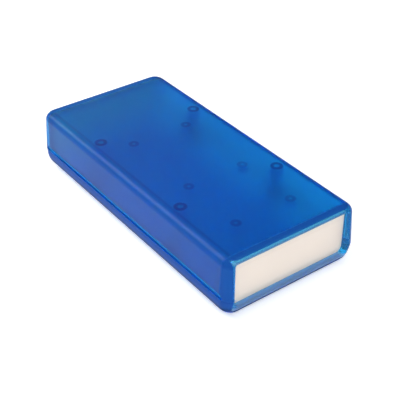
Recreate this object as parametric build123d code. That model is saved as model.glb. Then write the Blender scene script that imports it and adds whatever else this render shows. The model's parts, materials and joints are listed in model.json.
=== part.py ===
from build123d import *

import math
import os

# Hand-held two-part enclosure with recessed end panels. Millimetres. X is the width, Y the length, Z up.
# The origin is the centre of the footprint, on the surface that the case rests on. The front is at -Y.

# Driving dimensions of the case
WIDTH = 66.0
LENGTH = 140.0
HEIGHT = 28.0
SEAM_Z = 9.8  # height of the parting line
SEAM_GAP = 0.1  # hairline left between the two rims when the screws are tight
CORNER_R = 5.6  # upright corner edges
TOP_R = 3.3  # edge round of the lid
TOP_DRAFT_X = 0.95  # how far each long side leans in, from the parting line to the top
TOP_DRAFT_Y = 0.43
TRAY_R_X = 7.8  # lower edge round along the long sides
TRAY_R_Y = 6.4  # lower edge round across the ends
TRAY_LEAN_Y = 0.22  # how much the tray's ends lean in for each millimetre down
TRAY_INSET = 0.1  # the tray is this much smaller than the lid at the parting line
LEAST_CORNER_R = 1.2
CORNER_SHRINK = 0.6  # how fast the tray's upright corners tighten towards its underside
SIDE_WALL = 2.2
TOP_WALL = 2.0
FLOOR_WALL = 2.2
STEPS = 7  # sections through each round

# Mouth at each end, and the panel that closes it
MOUTH_HALF = 28.4
MOUTH_LOW = 5.3
MOUTH_HIGH = 26.0
MOUTH_TOP_R = 1.2
MOUTH_LOW_R = 2.7
FLARE_START = 68.4  # distance from the centre at which the mouth starts to widen
FLARE_SIDE = 1.35  # widening at the end plane
FLARE_TOP = 1.75
FLARE_LOW = 1.0
PANEL_THICK = 2.0
PANEL_FACE = 65.95  # distance of the panel's outer face from the centre
PANEL_HALF = 29.6
PANEL_LOW = 4.1
PANEL_HIGH = 26.5
PANEL_CORNER_R = 0.6
PANEL_GAP = 0.08  # play on each face of the panel in its slot
PANEL_EDGE_GAP = 0.12
RIB_THICK = 1.2  # ribs that hold the panel on its inner side and under the ceiling
RIB_DROP = 1.3

# Shadow groove along the lid's lower edge, on both long sides
GROOVE_HALF = 66.4
GROOVE_HIGH = 2.6
GROOVE_DEEP = 0.95
GROOVE_END_R = 2.3
GROOVE_TAPER = 60.0
GROOVE_REACH = 10.0  # how far the cut runs down past the lid's lower edge

# Tongue of the tray that locates the lid
TONGUE_HALF = 56.0
TONGUE_OUT = 30.55
TONGUE_IN = 29.55
TONGUE_RISE = 1.6
TONGUE_ROOT = 3.0
TONGUE_ROOT_OUT = 31.8

# Case screws, their bosses and pillars
SCREW_X = 24.7
SCREW_FRONT = -28.6
SCREW_REAR = 30.2
BOSS_R = 2.75
BORE_TOP_Z = 26.3
PILLAR_R = 4.3
SHANK_R = 1.45
SHANK_GAP = 0.06
CLEAR_R = 1.7
HEAD_R = 2.8
HEAD_HIGH = 2.0
HEAD_SEAT_Z = 6.6
COUNTERBORE_R = 3.1
SCREW_LONG = 13.0
TIP_LONG = 2.0
THREAD_PITCH = 1.2
THREAD_DEEP = 0.3
THREAD_START = 1.0
TIP_R = 0.4
HEAD_ROUND = 0.9
RECESS_WIDE = 0.7
RECESS_LONG = 3.2
RECESS_DEEP = 1.2

# Circuit-board bosses under the lid
BOARD_X = 13.8
BOARD_ROWS = (20.9, -19.3, -49.9)
BOARD_BOSS_R = 2.1
BOARD_HOLE_R = 1.1
BOARD_DROP = 3.6
BOARD_HOLE_DEEP = 3.9

OVERLAP = 0.5  # how far features run into the wall that carries them


def section(half_x, half_y, radius, z):
    """Level rounded rectangle at height z."""
    outline = RectangleRounded(2 * half_x, 2 * half_y, radius)
    return Pos(0, 0, z) * outline


def lid_skin(wall=0.0, roof=0.0):
    """Solid inside the lid's outer surface, set in by wall at the sides and by roof at the top."""
    round_r = max(TOP_R - wall, 1.0)
    top = HEIGHT - roof
    shoulder = top - round_r

    def at(z, inset):
        rise = (z - SEAM_Z) / (HEIGHT - SEAM_Z)
        half_x = WIDTH / 2 - wall - TOP_DRAFT_X * rise - inset
        half_y = LENGTH / 2 - wall - TOP_DRAFT_Y * rise - inset
        return section(half_x, half_y, max(CORNER_R - wall - inset, LEAST_CORNER_R), z)

    walls = loft([at(SEAM_Z, 0), at(shoulder, 0)], ruled=True)
    angles = [math.radians(90 * i / STEPS) for i in range(STEPS + 1)]
    rounds = [at(shoulder + round_r * math.sin(a), round_r * (1 - math.cos(a))) for a in angles]
    return walls + loft(rounds)


def tray_inset(z, radius, lean):
    """How far the tray's surface lies inside the parting line's outline at height z."""
    tilt = math.atan(lean)
    tangent_z = radius * (1 - math.sin(tilt))
    if z >= tangent_z:
        return TRAY_INSET + (SEAM_Z - z) * lean
    start = TRAY_INSET + (SEAM_Z - tangent_z) * lean
    drop = 1 - z / radius
    return start + radius * (math.cos(tilt) - math.sqrt(max(1 - drop * drop, 0.0)))


def tray_skin(wall=0.0, floor=0.0):
    """Solid inside the tray's outer surface, set in by wall at the sides and by floor at the bottom."""
    sections = []
    for i in range(STEPS + 1):
        outer_z = TRAY_R_X * (1 - math.cos(math.radians(90 * i / STEPS)))
        inset_x = tray_inset(outer_z, TRAY_R_X, 0.0)
        inset_y = tray_inset(outer_z, TRAY_R_Y, TRAY_LEAN_Y)
        corner = max(CORNER_R - wall - max(inset_x, inset_y) * CORNER_SHRINK, LEAST_CORNER_R)
        z = floor + outer_z * (SEAM_Z - floor) / SEAM_Z
        sections.append(section(WIDTH / 2 - wall - inset_x, LENGTH / 2 - wall - inset_y, corner, z))
    rim_x = WIDTH / 2 - wall - TRAY_INSET
    rim_y = LENGTH / 2 - wall - TRAY_INSET
    sections.append(section(rim_x, rim_y, CORNER_R - wall, SEAM_Z))
    return loft(sections)


def mouth_outline(y, wider=0.0, higher=0.0, lower=0.0):
    """Outline of the mouth on an upright plane at y."""
    low = MOUTH_LOW - lower
    high = MOUTH_HIGH + higher
    face = Pos(0, (low + high) / 2) * Rectangle(2 * (MOUTH_HALF + wider), high - low)
    face = fillet(face.vertices().group_by(Axis.Y)[-1], MOUTH_TOP_R)
    face = fillet(face.vertices().group_by(Axis.Y)[0], MOUTH_LOW_R)
    return Plane(origin=(0, y, 0), x_dir=(-1, 0, 0), z_dir=(0, 1, 0)) * face


def mouth():
    """Passage through both ends, as a bar along the whole length that widens at the end planes."""
    end = LENGTH / 2
    bar = loft([mouth_outline(-end), mouth_outline(end)], ruled=True)
    flare = loft(
        [mouth_outline(FLARE_START), mouth_outline(end, FLARE_SIDE, FLARE_TOP, FLARE_LOW)],
        ruled=True,
    )
    return bar + flare + mirror(flare, Plane.XZ)


def box_between(low, high):
    """Box from its lowest to its highest corner."""
    size = [b - a for a, b in zip(low, high)]
    centre = [(a + b) / 2 for a, b in zip(low, high)]
    return Pos(*centre) * Box(*size)


def both_ends(low_y, high_y, half_x, low_z, high_z):
    """The same box at both ends, with low_y and high_y as distances from the centre."""
    rear = box_between((-half_x, low_y, low_z), (half_x, high_y, high_z))
    return rear + mirror(rear, Plane.XZ)


def panel_slot():
    """Space for the two panels, with their play."""
    return both_ends(
        PANEL_FACE - PANEL_THICK - PANEL_GAP,
        PANEL_FACE + PANEL_GAP,
        PANEL_HALF + PANEL_EDGE_GAP,
        PANEL_LOW - PANEL_EDGE_GAP,
        PANEL_HIGH + PANEL_EDGE_GAP,
    )


def end_zone():
    """The stretch at each end that is thick enough to hold the panel."""
    inner = PANEL_FACE - PANEL_THICK - PANEL_GAP - RIB_THICK
    return both_ends(inner, LENGTH, WIDTH, -1, HEIGHT + 1)


def rim_relief(low):
    """Slice taken off a rim at the parting line, half of the hairline gap high."""
    return box_between((-WIDTH, -LENGTH, low), (WIDTH, LENGTH, low + SEAM_GAP / 2))


def screw_places():
    """Name and place of each case screw."""
    return {
        "front_left": (-SCREW_X, SCREW_FRONT),
        "front_right": (SCREW_X, SCREW_FRONT),
        "rear_left": (-SCREW_X, SCREW_REAR),
        "rear_right": (SCREW_X, SCREW_REAR),
    }


def board_places():
    """Place of each circuit-board boss."""
    return [(side * BOARD_X, row) for row in BOARD_ROWS for side in (-1, 1)]


def post(place, radius, low_z, high_z):
    """Upright round bar."""
    bar = Cylinder(radius, high_z - low_z, align=(Align.CENTER, Align.CENTER, Align.MIN))
    return Pos(place[0], place[1], low_z) * bar


def cone(z, low_r, high_r, high):
    """Upright cone on the axis, standing on z."""
    return Pos(0, 0, z) * Cone(low_r, high_r, high, align=(Align.CENTER, Align.CENTER, Align.MIN))


def groove():
    """Shadow groove on both long sides, with a sloping upper wall that runs down round its ends."""
    outline = Pos(0, SEAM_Z + GROOVE_HIGH - GROOVE_REACH / 2) * Rectangle(2 * GROOVE_HALF, GROOVE_REACH)
    outline = fillet(outline.vertices().group_by(Axis.Y)[-1], GROOVE_END_R)
    side = Plane(origin=(WIDTH / 2, 0, 0), x_dir=(0, 1, 0), z_dir=(1, 0, 0))
    tool = extrude(side * outline, -GROOVE_DEEP, taper=GROOVE_TAPER)
    tool += extrude(side * outline, OVERLAP)
    return tool + mirror(tool, Plane.YZ)


def top_shell():
    ceiling = HEIGHT - TOP_WALL
    hollow = lid_skin(SIDE_WALL, TOP_WALL)
    shell = lid_skin() - (hollow - end_zone())
    shell -= rim_relief(SEAM_Z)
    shell -= mouth()
    rib = PANEL_FACE - PANEL_THICK - PANEL_GAP - RIB_THICK
    shell += both_ends(rib, rib + RIB_THICK, MOUTH_HALF + OVERLAP, ceiling - RIB_DROP, ceiling + OVERLAP)
    shell -= panel_slot()
    for place in screw_places().values():
        shell += post(place, BOSS_R, SEAM_Z, ceiling + OVERLAP)
        shell -= post(place, SHANK_R + SHANK_GAP, 0, BORE_TOP_Z)
    for place in board_places():
        shell += post(place, BOARD_BOSS_R, ceiling - BOARD_DROP, ceiling + OVERLAP)
        shell -= post(place, BOARD_HOLE_R, ceiling - BOARD_DROP - 1, ceiling - BOARD_DROP + BOARD_HOLE_DEEP)
    return shell - groove()


def tongue():
    """Low wall inside each long side that the lid slides over."""
    low = SEAM_Z - TONGUE_ROOT
    rise = box_between((TONGUE_IN, -TONGUE_HALF, low), (TONGUE_OUT, TONGUE_HALF, SEAM_Z + TONGUE_RISE))
    root = box_between((TONGUE_IN, -TONGUE_HALF, low), (TONGUE_ROOT_OUT, TONGUE_HALF, SEAM_Z - OVERLAP))
    side = rise + root
    return side + mirror(side, Plane.YZ)


def bottom_shell():
    hollow = tray_skin(SIDE_WALL, FLOOR_WALL)
    shell = tray_skin() - (hollow - end_zone())
    shell -= rim_relief(SEAM_Z - SEAM_GAP / 2)
    shell -= mouth()
    shell -= panel_slot()
    shell += tongue()
    for place in screw_places().values():
        shell += post(place, PILLAR_R, FLOOR_WALL - OVERLAP, SEAM_Z)
        shell -= post(place, COUNTERBORE_R, -1, HEAD_SEAT_Z)
        shell -= post(place, CLEAR_R, -1, HEIGHT)
    return shell


def end_panel(side):
    """Blank panel, side -1 at the front and 1 at the rear."""
    near = PANEL_FACE - PANEL_THICK
    plate = box_between((-PANEL_HALF, near, PANEL_LOW), (PANEL_HALF, PANEL_FACE, PANEL_HIGH))
    plate = fillet(plate.edges().filter_by(Axis.Y), PANEL_CORNER_R)
    return plate if side > 0 else mirror(plate, Plane.XZ)


def case_screw(place):
    """Pan-head self-tapping screw, head down, with a cross recess and thread ridges."""
    head_low = HEAD_SEAT_Z - HEAD_HIGH
    head = post((0, 0), HEAD_R, head_low, HEAD_SEAT_Z)
    head = fillet(head.edges().group_by(Axis.Z)[0], HEAD_ROUND)
    core_r = SHANK_R - THREAD_DEEP
    tip_z = HEAD_SEAT_Z + SCREW_LONG - TIP_LONG
    screw = head + post((0, 0), core_r, HEAD_SEAT_Z, tip_z) + cone(tip_z, core_r, TIP_R, TIP_LONG)
    for i in range(int((SCREW_LONG - TIP_LONG - THREAD_START) / THREAD_PITCH)):
        z = HEAD_SEAT_Z + THREAD_START + i * THREAD_PITCH
        screw += cone(z, core_r, SHANK_R, THREAD_DEEP)
        screw += cone(z + THREAD_DEEP, SHANK_R, core_r, THREAD_DEEP)
    for turn in (0, 90):
        slot = Rot(0, 0, turn) * Box(RECESS_LONG, RECESS_WIDE, 2 * RECESS_DEEP)
        screw -= Pos(0, 0, head_low) * slot
    return Pos(place[0], place[1], 0) * screw


def main():
    os.makedirs("parts", exist_ok=True)
    parts = {
        "top_shell": top_shell(),
        "bottom_shell": bottom_shell(),
        "front_end_panel": end_panel(-1),
        "rear_end_panel": end_panel(1),
    }
    for name, place in screw_places().items():
        parts["case_screw_" + name] = case_screw(place)
    for name, shape in parts.items():
        export_step(shape, os.path.join("parts", name + ".step"))


main()
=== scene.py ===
import json
import math
from collections import namedtuple

import bpy
from mathutils import Matrix, Vector


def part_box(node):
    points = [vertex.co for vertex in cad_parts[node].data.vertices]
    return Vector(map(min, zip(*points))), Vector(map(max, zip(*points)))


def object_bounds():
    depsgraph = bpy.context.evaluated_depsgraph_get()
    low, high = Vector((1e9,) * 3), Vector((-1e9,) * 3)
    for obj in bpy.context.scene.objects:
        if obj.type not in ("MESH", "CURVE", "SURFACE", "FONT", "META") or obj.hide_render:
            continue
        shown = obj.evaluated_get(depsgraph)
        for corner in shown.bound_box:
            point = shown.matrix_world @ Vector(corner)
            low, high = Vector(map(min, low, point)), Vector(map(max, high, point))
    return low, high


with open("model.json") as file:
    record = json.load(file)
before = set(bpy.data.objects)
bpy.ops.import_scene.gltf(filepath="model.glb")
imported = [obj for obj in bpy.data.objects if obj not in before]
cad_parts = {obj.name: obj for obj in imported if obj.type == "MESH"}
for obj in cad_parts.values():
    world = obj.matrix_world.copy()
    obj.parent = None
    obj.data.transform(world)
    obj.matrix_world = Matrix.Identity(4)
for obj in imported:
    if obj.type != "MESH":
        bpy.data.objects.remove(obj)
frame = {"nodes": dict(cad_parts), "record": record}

CAD_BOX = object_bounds()
MM = 0.001
WHITE = (1.0, 1.0, 1.0, 1.0)

# Camera: angles in degrees, distance, offsets and clipping in metres, focal length in image widths
AZIMUTH = -36.743
ELEVATION = 35.219
ROLL = 0.295
DISTANCE = 0.41622
OFFSET_RIGHT = 0.00499
OFFSET_UP = -0.00773
FOCAL = 2.40986
SENSOR_MM = 36.0
CLIP_NEAR = 0.01
CLIP_FAR = 50.0

# Blue plastic: what its depth lets through, and how rough the outside, the inside and the mouths are
BLUE_IOR = 1.25
BLUE_PASS = (0.0, 0.845, 0.992, 1.0)
BLUE_DENSITY = 800.0
BLUE_CLEAR = 1.0
BLUE_GRAIN = {"Scale": 2600.0, "Detail": 3.0, "Roughness": 0.6}
BLUE_BUMP = {"Strength": 0.12, "Distance": 0.04 * MM}
HAZE_SHARE = 0.13
HAZE_GLOSS = 0.15
HAZE_COLOUR = (0.006, 0.165, 0.72, 1.0)
OUTER_ROUGH = 0.36
INNER_ROUGH = 0.75
MOUTH_ROUGH = 0.08
SKIN = 1.35 * MM
ROUND = 4.0 * MM
MOUTH_HALF = 29.7 * MM
MOUTH_LOW = 4.3 * MM
MOUTH_HIGH = 27.6 * MM
MOUTH_DEEP = 4.3 * MM

# More haze in the blue plastic, coloured as painted light and shade: painted shade on the ends, rounded
# edges and foot, painted glow on the lips, painted highlight on the seam line, painted reflection on the
# sills
EDGE_SHARE = 0.92
EDGE_COLOUR = (0.008, 0.075, 0.36, 1.0)
END_SIDES = 0.85
FILLET_SHARE = 0.25
FOOT_IN = 3.0 * MM
FOOT_FULL = 9.6 * MM
FOOT_HIGH = 9.9 * MM
FOOT_COLOUR = (0.004, 0.03, 0.11, 1.0)
FOOT_DARK_FULL = 4.0 * MM
FOOT_DARK_NONE = 7.5 * MM
# Painted glow: pale cyan haze on the lips of the mouths
LIP_SHARE = 0.34
LIP_COLOUR = (0.04, 0.38, 0.85, 1.0)
# Painted highlight: a light line of haze along the lid's lower edge
SEAM_SHARE = 0.7
SEAM_LOW = 9.9 * MM
SEAM_HIGH = 11.0 * MM
# Painted reflection: grey-blue haze on the sills, standing for the cream panels mirrored in them
SILL_SHARE = 0.6
SILL_COLOUR = (0.20, 0.36, 0.62, 1.0)
SILL_HIGH = 5.6 * MM

# Painted shade in the colour of the clear plastic: rings over the roots of the bosses, bands over walls and
# fillet
PAINTED_SHADE = (0.8, 0.20, 0.30, 1.0)
SCREW_RING = 1.95 * MM
BOARD_RING = 1.45 * MM
RING_CORE = 0.35 * MM
RING_EDGE = 1.25 * MM
SCREW_DARK = 1.0
BOARD_DARK = 0.6
TOP_SKIN = 0.35 * MM
FILLET_DEEP = 2.0 * MM  # middle of the band that runs round the lid's rounded edge, below its top
FILLET_CORE = 0.5 * MM
FILLET_HALF = 1.6 * MM
FILLET_DARK = 0.6
WALL_BAND = 4.7 * MM
END_BAND = 4.4 * MM
WALL_BAND_HALF = 1.3 * MM
WALL_DARK = 0.45

# Cream panels
CREAM_ROUGH = 0.55
CREAM_IOR = 1.5
CREAM_GRAIN = {"Scale": 1800.0, "Detail": 4.0, "Roughness": 0.65}
CREAM_BUMP = {"Strength": 0.35, "Distance": 0.05 * MM}
CREAM_CLOUD = {"Scale": 45.0, "Detail": 3.0, "Roughness": 0.5}
CREAM_DARK = (0.83, 0.737, 0.650, 1.0)
CREAM_LIGHT = (0.86, 0.765, 0.685, 1.0)

# Screw steel
STEEL_GRAIN = {"Scale": 900.0, "Detail": 3.0, "Roughness": 0.6}
STEEL_BUMP = {"Strength": 0.15, "Distance": 0.03 * MM}
STEEL_ROUGH = {"From Min": 0.3, "From Max": 0.7, "To Min": 0.24, "To Max": 0.42}
STEEL_DARK = (0.60, 0.61, 0.62, 1.0)
STEEL_LIGHT = (0.72, 0.72, 0.70, 1.0)

# Stage: a light has a name, a place and a side in metres, and a power in watts
FLOOR_REACH = 6.0
FLOOR_DROP = 0.02 * MM
FLOOR_COLOUR = (0.93, 0.93, 0.93, 1.0)
FLOOR_SHINE = 0.42
SHINE_FADE = 14.0 * MM
SHINE_EDGE = 4.0 * MM
WORLD_LIGHT = 0.04
AIM_HEIGHT = 14.0 * MM
LIGHTS = (
    ("key", (-0.58, 0.90, 0.92), 0.75, 13.0),
    ("fill", (0.1, -0.5, 1.6), 1.3, 9.0),
    ("front", (-0.55, -1.3, 1.2), 1.3, 18.5),
    ("card", (0.50, 1.14, 0.86), 0.5, 1.0),
)

Spot = namedtuple("Spot", "position across along height")
Masks = namedtuple("Masks", "skin mouth sill lip seam edges")


def new_material(name):
    material = bpy.data.materials.new(name)
    material.use_nodes = True
    tree = material.node_tree
    tree.nodes.clear()
    return material, tree


def node(tree, kind, inputs=None, **settings):
    made = tree.nodes.new(kind)
    for key, value in settings.items():
        setattr(made, key, value)
    for key, value in (inputs or {}).items():
        made.inputs[key].default_value = value
    return made


def link(tree, source, target):
    tree.links.new(source, target)


def maths(tree, operation, first, second=None, third=None):
    """Math node; each input is a number or a socket. Returns its output socket."""
    made = node(tree, "ShaderNodeMath", operation=operation)
    for index, value in enumerate((first, second, third)):
        if value is None:
            continue
        if isinstance(value, (int, float)):
            made.inputs[index].default_value = value
        else:
            link(tree, value, made.inputs[index])
    return made.outputs[0]


def combined(tree, operation, values):
    """The values taken together, two at a time."""
    total = values[0]
    for value in values[1:]:
        total = maths(tree, operation, total, value)
    return total


def product(tree, *values):
    return combined(tree, "MULTIPLY", values)


def largest(tree, *values):
    return combined(tree, "MAXIMUM", values)


def between(tree, value, low, high):
    """1 where value lies between low and high, else 0."""
    above = maths(tree, "GREATER_THAN", value, low)
    below = maths(tree, "LESS_THAN", value, high)
    return product(tree, above, below)


def soft_step(tree, value, full, none):
    """1 where value is at full, falling smoothly to 0 at none."""
    limits = {"From Min": full, "From Max": none, "To Min": 1.0, "To Max": 0.0}
    ramp = node(tree, "ShaderNodeMapRange", limits, interpolation_type="SMOOTHSTEP")
    link(tree, value, ramp.inputs["Value"])
    return ramp.outputs["Result"]


def blend(tree, factor, first, second):
    """Colour that goes from first to second with the factor; each colour is a tuple or a socket."""
    made = node(tree, "ShaderNodeMix", data_type="RGBA")
    link(tree, factor, made.inputs["Factor"])
    for key, colour in (("A", first), ("B", second)):
        if isinstance(colour, tuple):
            made.inputs[key].default_value = colour
        else:
            link(tree, colour, made.inputs[key])
    return made.outputs["Result"]


def noise(tree, position, texture):
    made = node(tree, "ShaderNodeTexNoise", texture)
    link(tree, position, made.inputs["Vector"])
    return made.outputs["Fac"]


def add_bump(tree, height, bump, *shaders):
    """Bump each of the shaders by the height."""
    made = node(tree, "ShaderNodeBump", bump)
    link(tree, height, made.inputs["Height"])
    for shader in shaders:
        link(tree, made.outputs["Normal"], shader.inputs["Normal"])


def object_position(tree):
    return node(tree, "ShaderNodeTexCoord").outputs["Object"]


def find_spot(tree):
    """Position of the shaded point, its distances across and along from the middle, and its height."""
    position = object_position(tree)
    parts = node(tree, "ShaderNodeSeparateXYZ")
    link(tree, position, parts.inputs[0])
    across = maths(tree, "ABSOLUTE", parts.outputs["X"])
    along = maths(tree, "ABSOLUTE", parts.outputs["Y"])
    return Spot(position, across, along, parts.outputs["Z"])


def skin_mask(tree, spot):
    """1 in the outermost skin of the case, else 0."""
    low, high = CAD_BOX
    half = (high - low) / 2
    lifted = maths(tree, "ABSOLUTE", maths(tree, "SUBTRACT", spot.height, (high.z + low.z) / 2))
    squares = []
    for value, size in ((spot.across, half.x), (spot.along, half.y), (lifted, half.z)):
        excess = maths(tree, "MAXIMUM", maths(tree, "SUBTRACT", value, size - ROUND), 0.0)
        squares.append(product(tree, excess, excess))
    reach = maths(tree, "SQRT", combined(tree, "ADD", squares))
    return maths(tree, "GREATER_THAN", reach, ROUND - SKIN)


def mouth_mask(tree, spot):
    """1 on the inner faces and flares of the mouths at the ends, else 0."""
    within = maths(tree, "LESS_THAN", spot.across, MOUTH_HALF)
    at_end = maths(tree, "GREATER_THAN", spot.along, CAD_BOX[1].y - MOUTH_DEEP)
    return product(tree, within, at_end, between(tree, spot.height, MOUTH_LOW, MOUTH_HIGH))


def seam_mask(tree, spot, skin):
    """1 on the painted highlight line along the lid's lower edge, short of the ends."""
    line = between(tree, spot.height, SEAM_LOW, SEAM_HIGH)
    short = maths(tree, "LESS_THAN", spot.along, CAD_BOX[1].y - END_BAND)
    return product(tree, line, skin, short)


def foot_mask(tree, spot):
    """1 low on the rounded bottom edge, falling to 0 at its top, and 0 under the flat of the case; painted
    shade goes there.
    """
    high = CAD_BOX[1]
    across = maths(tree, "SUBTRACT", spot.across, high.x - FOOT_IN)
    along = maths(tree, "SUBTRACT", spot.along, high.y - FOOT_IN)
    outside = maths(tree, "GREATER_THAN", largest(tree, across, along), 0.0)
    return product(tree, soft_step(tree, spot.height, FOOT_FULL, FOOT_HIGH), outside)


def fillet_band(tree, spot):
    """1 in the middle of the lid's rounded edge, falling to 0 above and below."""
    fall = maths(tree, "ABSOLUTE", maths(tree, "SUBTRACT", spot.height, CAD_BOX[1].z - FILLET_DEEP))
    return soft_step(tree, fall, FILLET_CORE, FILLET_HALF)


def edge_mask(tree, spot, skin, mouth):
    """Up to 1 on the ends of the lid's top and on the foot, less on the fillet and the ends of the sides;
    the haze there is painted shade.
    """
    high = CAD_BOX[1]
    inward = maths(tree, "SUBTRACT", high.y - END_BAND, spot.along)
    under = maths(tree, "SUBTRACT", high.z, spot.height)
    on_top = soft_step(tree, under, FILLET_DEEP, 2 * FILLET_DEEP)
    share = maths(tree, "MULTIPLY_ADD", on_top, 1.0 - END_SIDES, END_SIDES)
    ends = product(tree, soft_step(tree, inward, 0.0, WALL_BAND_HALF), share)
    fillet = product(tree, fillet_band(tree, spot), FILLET_SHARE)
    edges = largest(tree, ends, fillet, foot_mask(tree, spot))
    return product(tree, edges, skin, maths(tree, "SUBTRACT", 1.0, mouth))


def case_masks(tree, spot):
    skin = skin_mask(tree, spot)
    mouth = mouth_mask(tree, spot)
    return Masks(
        skin=skin,
        mouth=mouth,
        sill=product(tree, maths(tree, "LESS_THAN", spot.height, SILL_HIGH), mouth),
        lip=product(tree, maths(tree, "GREATER_THAN", spot.height, SILL_HIGH), mouth),
        seam=seam_mask(tree, spot, skin),
        edges=edge_mask(tree, spot, skin, mouth),
    )


def surface_roughness(tree, masks):
    """Rough inside the case, smoother on its outside and smoothest in the mouths at the ends."""
    rough = maths(tree, "MULTIPLY_ADD", masks.skin, OUTER_ROUGH - INNER_ROUGH, INNER_ROUGH)
    keep = maths(tree, "SUBTRACT", 1.0, masks.mouth)
    return maths(tree, "MULTIPLY_ADD", rough, keep, product(tree, masks.mouth, MOUTH_ROUGH))


def ring(tree, flat, centres, radius):
    """Soft ring of that radius round each of the centres."""
    reaches = []
    for x, y in centres:
        reach = node(tree, "ShaderNodeVectorMath", operation="DISTANCE")
        link(tree, flat, reach.inputs[0])
        reach.inputs[1].default_value = (x, y, 0.0)
        reaches.append(reach.outputs["Value"])
    nearest = combined(tree, "MINIMUM", reaches)
    off = maths(tree, "ABSOLUTE", maths(tree, "SUBTRACT", nearest, radius))
    return soft_step(tree, off, RING_CORE, RING_EDGE)


def screw_centres():
    """Where the case screws stand."""
    boxes = [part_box(name) for name in frame["nodes"] if name.startswith("case_screw")]
    return [((low.x + high.x) / 2, (low.y + high.y) / 2) for low, high in boxes]


def board_centres():
    """Where the circuit-board bosses stand."""
    centres = []
    for mount in frame["record"]["mounts"]:
        if mount["kind"] != "bolt_pattern":
            continue
        x, y, _ = mount["pos_m"]
        half_x = mount["dims"].get("spacing_x_mm", 0.0) * MM / 2
        half_y = mount["dims"].get("spacing_y_mm", 0.0) * MM / 2
        rows = (-half_y, half_y) if half_y else (0.0,)
        centres += [(x + side * half_x, y + row) for row in rows for side in (-1, 1)]
    return centres


def painted_shade_colour(tree, spot, skin):
    """Painted shade: darker over the roots of the lid's bosses, over the tops of its side walls and on its
    rounded edge.
    """
    high = CAD_BOX[1]
    flat = node(tree, "ShaderNodeVectorMath", operation="MULTIPLY")
    link(tree, spot.position, flat.inputs[0])
    flat.inputs[1].default_value = (1.0, 1.0, 0.0)
    screws = product(tree, ring(tree, flat.outputs[0], screw_centres(), SCREW_RING), SCREW_DARK)
    boards = product(tree, ring(tree, flat.outputs[0], board_centres(), BOARD_RING), BOARD_DARK)
    off_wall = maths(tree, "ABSOLUTE", maths(tree, "SUBTRACT", spot.across, high.x - WALL_BAND))
    walls = product(tree, soft_step(tree, off_wall, 0.0, WALL_BAND_HALF), WALL_DARK)
    top = maths(tree, "GREATER_THAN", spot.height, high.z - TOP_SKIN)
    on_top = product(tree, largest(tree, screws, boards, walls), top)
    fillet = product(tree, fillet_band(tree, spot), FILLET_DARK, skin)
    return blend(tree, largest(tree, on_top, fillet), WHITE, PAINTED_SHADE)


def haze_and_painted_light_colour(tree, masks, low_down):
    # Painted shade: dark blue haze on the ends, fillets and foot, darkest low down.
    foot = blend(tree, low_down, EDGE_COLOUR, FOOT_COLOUR)
    colour = blend(tree, masks.edges, HAZE_COLOUR, foot)
    # Painted glow on the lips and painted highlight on the seam line, both in the lip colour.
    colour = blend(tree, largest(tree, masks.lip, masks.seam), colour, LIP_COLOUR)
    # Painted reflection of the cream panels on the sills.
    return blend(tree, masks.sill, colour, SILL_COLOUR)


def haze_and_painted_light_share(tree, masks):
    """How much of the surface is haze, raised where it carries painted light and shade; the rest is clear
    plastic.
    """
    shares = (
        (masks.edges, EDGE_SHARE),
        (masks.sill, SILL_SHARE),
        (masks.lip, LIP_SHARE),
        (masks.seam, SEAM_SHARE),
    )
    more = largest(tree, *[product(tree, mask, share - HAZE_SHARE) for mask, share in shares])
    return maths(tree, "ADD", more, HAZE_SHARE)


def blue_plastic(name):
    """Frosted translucent plastic, tinted in its depth, with painted shade, glow, highlights and reflections
    in its surface colours.
    """
    material, tree = new_material(name)
    out = node(tree, "ShaderNodeOutputMaterial")
    clear = node(tree, "ShaderNodeBsdfPrincipled", {"IOR": BLUE_IOR, "Transmission Weight": BLUE_CLEAR})
    haze = node(tree, "ShaderNodeBsdfPrincipled", {"IOR": BLUE_IOR, "Roughness": OUTER_ROUGH})
    mixed = node(tree, "ShaderNodeMixShader")
    absorb = node(tree, "ShaderNodeVolumeAbsorption", {"Color": BLUE_PASS, "Density": BLUE_DENSITY})
    spot = find_spot(tree)
    masks = case_masks(tree, spot)
    # Darker towards the bottom: painted shade in the foot colour, and the haze's gloss falls away there.
    low_down = soft_step(tree, spot.height, FOOT_DARK_FULL, FOOT_DARK_NONE)
    gloss = maths(tree, "MULTIPLY_ADD", low_down, -HAZE_GLOSS, HAZE_GLOSS)
    add_bump(tree, noise(tree, spot.position, BLUE_GRAIN), BLUE_BUMP, clear, haze)
    link(tree, surface_roughness(tree, masks), clear.inputs["Roughness"])
    # The clear plastic's colour carries the painted shade over boss roots, wall tops and fillet.
    link(tree, painted_shade_colour(tree, spot, masks.skin), clear.inputs["Base Color"])
    link(tree, haze_and_painted_light_colour(tree, masks, low_down), haze.inputs["Base Color"])
    link(tree, gloss, haze.inputs["Specular IOR Level"])
    link(tree, haze_and_painted_light_share(tree, masks), mixed.inputs["Fac"])
    link(tree, clear.outputs["BSDF"], mixed.inputs[1])
    link(tree, haze.outputs["BSDF"], mixed.inputs[2])
    link(tree, mixed.outputs["Shader"], out.inputs["Surface"])
    link(tree, absorb.outputs["Volume"], out.inputs["Volume"])
    return material


def cream_plastic(name):
    """Opaque cream panel with a fine eroded texture."""
    material, tree = new_material(name)
    out = node(tree, "ShaderNodeOutputMaterial")
    shader = node(tree, "ShaderNodeBsdfPrincipled", {"Roughness": CREAM_ROUGH, "IOR": CREAM_IOR})
    position = object_position(tree)
    cloud = noise(tree, position, CREAM_CLOUD)
    add_bump(tree, noise(tree, position, CREAM_GRAIN), CREAM_BUMP, shader)
    link(tree, blend(tree, cloud, CREAM_DARK, CREAM_LIGHT), shader.inputs["Base Color"])
    link(tree, shader.outputs["BSDF"], out.inputs["Surface"])
    return material


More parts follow.
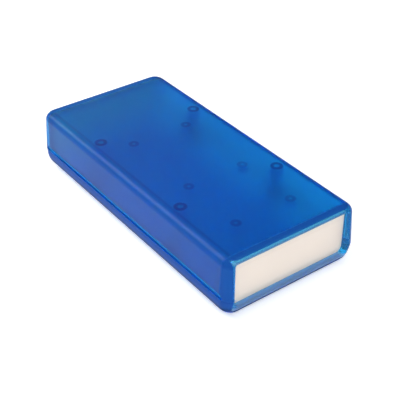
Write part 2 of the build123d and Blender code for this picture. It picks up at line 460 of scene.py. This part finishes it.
def screw_steel(name):
    """Bright zinc-plated steel with a fine uneven grain."""
    material, tree = new_material(name)
    out = node(tree, "ShaderNodeOutputMaterial")
    shader = node(tree, "ShaderNodeBsdfPrincipled", {"Metallic": 1.0})
    grain = noise(tree, object_position(tree), STEEL_GRAIN)
    spread = node(tree, "ShaderNodeMapRange", STEEL_ROUGH)
    link(tree, grain, spread.inputs["Value"])
    link(tree, spread.outputs["Result"], shader.inputs["Roughness"])
    link(tree, blend(tree, grain, STEEL_DARK, STEEL_LIGHT), shader.inputs["Base Color"])
    add_bump(tree, grain, STEEL_BUMP, shader)
    link(tree, shader.outputs["BSDF"], out.inputs["Surface"])
    return material


def paint(node_name, material):
    piece = frame["nodes"][node_name]
    for slot in piece.material_slots:
        slot.material = material


def floor_white(name):
    """Pale floor that glows softly, with painted shadow under the case, where the glow is left out."""
    material, tree = new_material(name)
    out = node(tree, "ShaderNodeOutputMaterial")
    shader = node(tree, "ShaderNodeBsdfDiffuse", {"Color": FLOOR_COLOUR})
    shine = node(tree, "ShaderNodeEmission", {"Color": WHITE})
    both = node(tree, "ShaderNodeAddShader")
    spot = find_spot(tree)
    high = CAD_BOX[1]
    beyond_x = maths(tree, "SUBTRACT", spot.across, high.x)
    beyond_y = maths(tree, "SUBTRACT", spot.along, high.y)
    # Painted shadow: no glow under the case, fading back in just inside its outline.
    under = soft_step(tree, largest(tree, beyond_x, beyond_y), -SHINE_FADE, -SHINE_EDGE)
    strength = product(tree, maths(tree, "SUBTRACT", 1.0, under), FLOOR_SHINE)
    link(tree, strength, shine.inputs["Strength"])
    link(tree, shader.outputs["BSDF"], both.inputs[0])
    link(tree, shine.outputs["Emission"], both.inputs[1])
    link(tree, both.outputs["Shader"], out.inputs["Surface"])
    return material


def add_floor():
    mesh = bpy.data.meshes.new("floor")
    signs = ((-1, -1), (1, -1), (1, 1), (-1, 1))
    corners = [(x * FLOOR_REACH, y * FLOOR_REACH, 0) for x, y in signs]
    mesh.from_pydata(corners, [], [(0, 1, 2, 3)])
    floor = bpy.data.objects.new("floor", mesh)
    bpy.context.collection.objects.link(floor)
    floor.location.z = -FLOOR_DROP
    mesh.materials.append(floor_white("floor_white"))


def add_light(name, place, size, power):
    """Square soft light aimed at the object."""
    data = bpy.data.lights.new(name, "AREA")
    data.shape = "SQUARE"
    data.size = size
    data.energy = power
    lamp = bpy.data.objects.new(name, data)
    bpy.context.collection.objects.link(lamp)
    lamp.location = place
    lamp.rotation_mode = "QUATERNION"
    aim = Vector((0, 0, AIM_HEIGHT)) - lamp.location
    lamp.rotation_quaternion = aim.to_track_quat("-Z", "Y")


def add_world():
    world = bpy.data.worlds.new("studio")
    bpy.context.scene.world = world
    world.use_nodes = True
    back = world.node_tree.nodes["Background"]
    back.inputs["Color"].default_value = WHITE
    back.inputs["Strength"].default_value = WORLD_LIGHT


def add_camera():
    azimuth, elevation, roll = (math.radians(a) for a in (AZIMUTH, ELEVATION, ROLL))
    back = Vector((
        math.sin(azimuth) * math.cos(elevation),
        -math.cos(azimuth) * math.cos(elevation),
        math.sin(elevation),
    ))
    level = Vector((0, 0, 1)).cross(back).normalized()
    upright = back.cross(level)
    right = level * math.cos(roll) + upright * math.sin(roll)
    up = upright * math.cos(roll) - level * math.sin(roll)
    low, high = CAD_BOX
    centre = Vector((0, 0, (low.z + high.z) / 2))
    data = bpy.data.cameras.new("camera")
    data.sensor_width = SENSOR_MM
    data.lens = FOCAL * SENSOR_MM
    data.clip_start = CLIP_NEAR
    data.clip_end = CLIP_FAR
    camera = bpy.data.objects.new("camera", data)
    bpy.context.collection.objects.link(camera)
    place = centre + right * OFFSET_RIGHT + up * OFFSET_UP + back * DISTANCE
    turn = Matrix((right, up, back)).transposed().to_4x4()
    camera.matrix_world = Matrix.Translation(place) @ turn
    bpy.context.scene.camera = camera


lid_plastic = blue_plastic("lid_blue")
tray_plastic = blue_plastic("tray_blue")
panel_plastic = cream_plastic("panel_cream")
steel = screw_steel("screw_steel")
paint("top_shell", lid_plastic)
paint("bottom_shell", tray_plastic)
for end in ("front", "rear"):
    paint(end + "_end_panel", panel_plastic)
    for side in ("left", "right"):
        paint("case_screw_" + end + "_" + side, steel)

add_floor()
add_world()
for light in LIGHTS:
    add_light(*light)
add_camera()
bpy.context.scene.view_settings.view_transform = "Standard"
